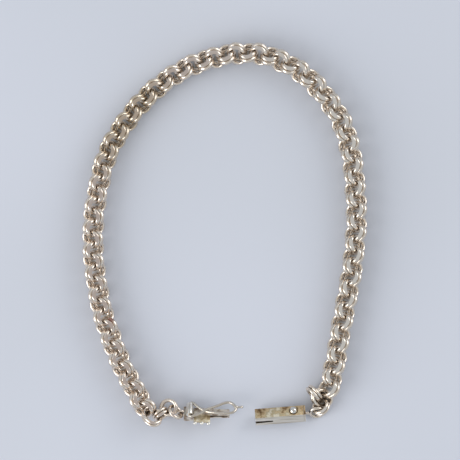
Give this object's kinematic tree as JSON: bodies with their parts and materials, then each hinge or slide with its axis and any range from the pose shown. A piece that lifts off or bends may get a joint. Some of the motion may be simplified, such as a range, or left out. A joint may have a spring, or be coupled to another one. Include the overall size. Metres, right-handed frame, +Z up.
{
  "type": "chain bracelet",
  "caption": "Silver double-ring chain bracelet lying open, with a box clasp, folded spring tongue and wire safety catch.",
  "frame": {"origin": "on the table, under the middle of the bracelet's bounding box", "axes": "+Z up from the table, +Y towards the far side of the loop, +X to the right, clasp in front"},
  "size_m": [0.0556, 0.0751, 0.0047],
  "materials": {
    "chain_silver": "worn sterling silver, brown tarnish in the grooves",
    "tongue_silver": "worn sterling silver, tanned on its upper faces",
    "box_silver": "worn sterling silver with a yellowish tan",
    "catch_silver": "polished sterling silver wire"
  },
  "bodies": {
    "bracelet": {"chain_links_1": "chain_silver", "chain_links_2": "chain_silver", "chain_links_3": "chain_silver", "chain_links_4": "chain_silver", "chain_links_5": "chain_silver", "chain_links_6": "chain_silver", "chain_links_7": "chain_silver", "chain_links_8": "chain_silver", "chain_links_9": "chain_silver", "chain_links_10": "chain_silver", "left_end_rings": "chain_silver", "right_end_rings": "chain_silver", "clasp_tongue": "tongue_silver", "clasp_box": "box_silver"},
    "safety_catch": {"safety_catch": "catch_silver"}
  },
  "joints": [
    {"name": "catch_hinge", "type": "hinge", "parent": "bracelet", "child": "safety_catch", "pos_m": [-0.00682, -0.03402, 0.00239], "axis": [0, -0.7771, 0.6293], "range_deg": [0, 120]}
  ]
}
